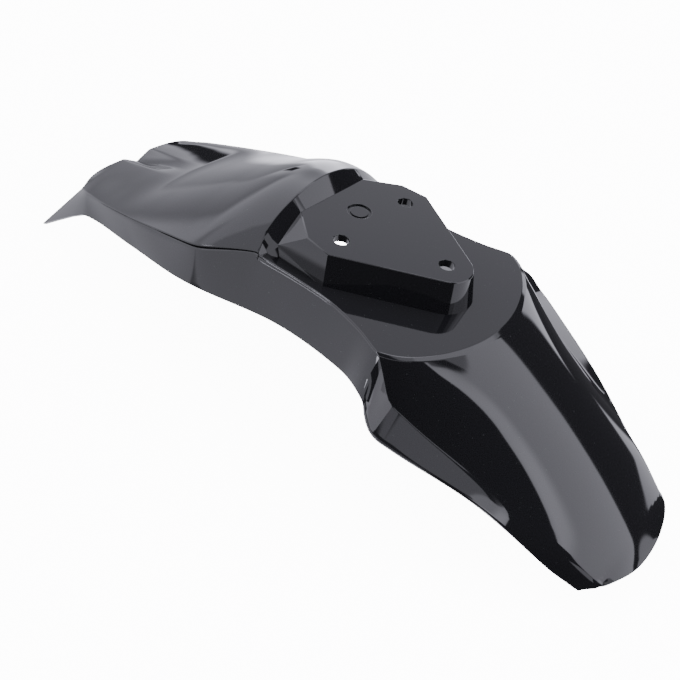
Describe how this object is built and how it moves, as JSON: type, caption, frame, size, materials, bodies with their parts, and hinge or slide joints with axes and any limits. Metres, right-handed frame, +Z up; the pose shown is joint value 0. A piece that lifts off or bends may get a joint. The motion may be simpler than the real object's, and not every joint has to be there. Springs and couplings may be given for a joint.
{
  "type": "motorcycle front fender",
  "caption": "Moulded black front fender for an off-road motorbike, with a raised bolt-on plate, a long beak ahead and a split tail behind.",
  "frame": {"origin": "middle of the bolt circle, on the top face of the mounting plate", "axes": "+X forward to the tip of the beak, +Y to the rider's left, +Z up along the bolts"},
  "size_m": [0.3947, 0.152, 0.1047],
  "materials": {
    "gloss_black": "high-gloss injection-moulded black"
  },
  "bodies": {
    "root": {"fender": "gloss_black"}
  },
  "joints": []
}
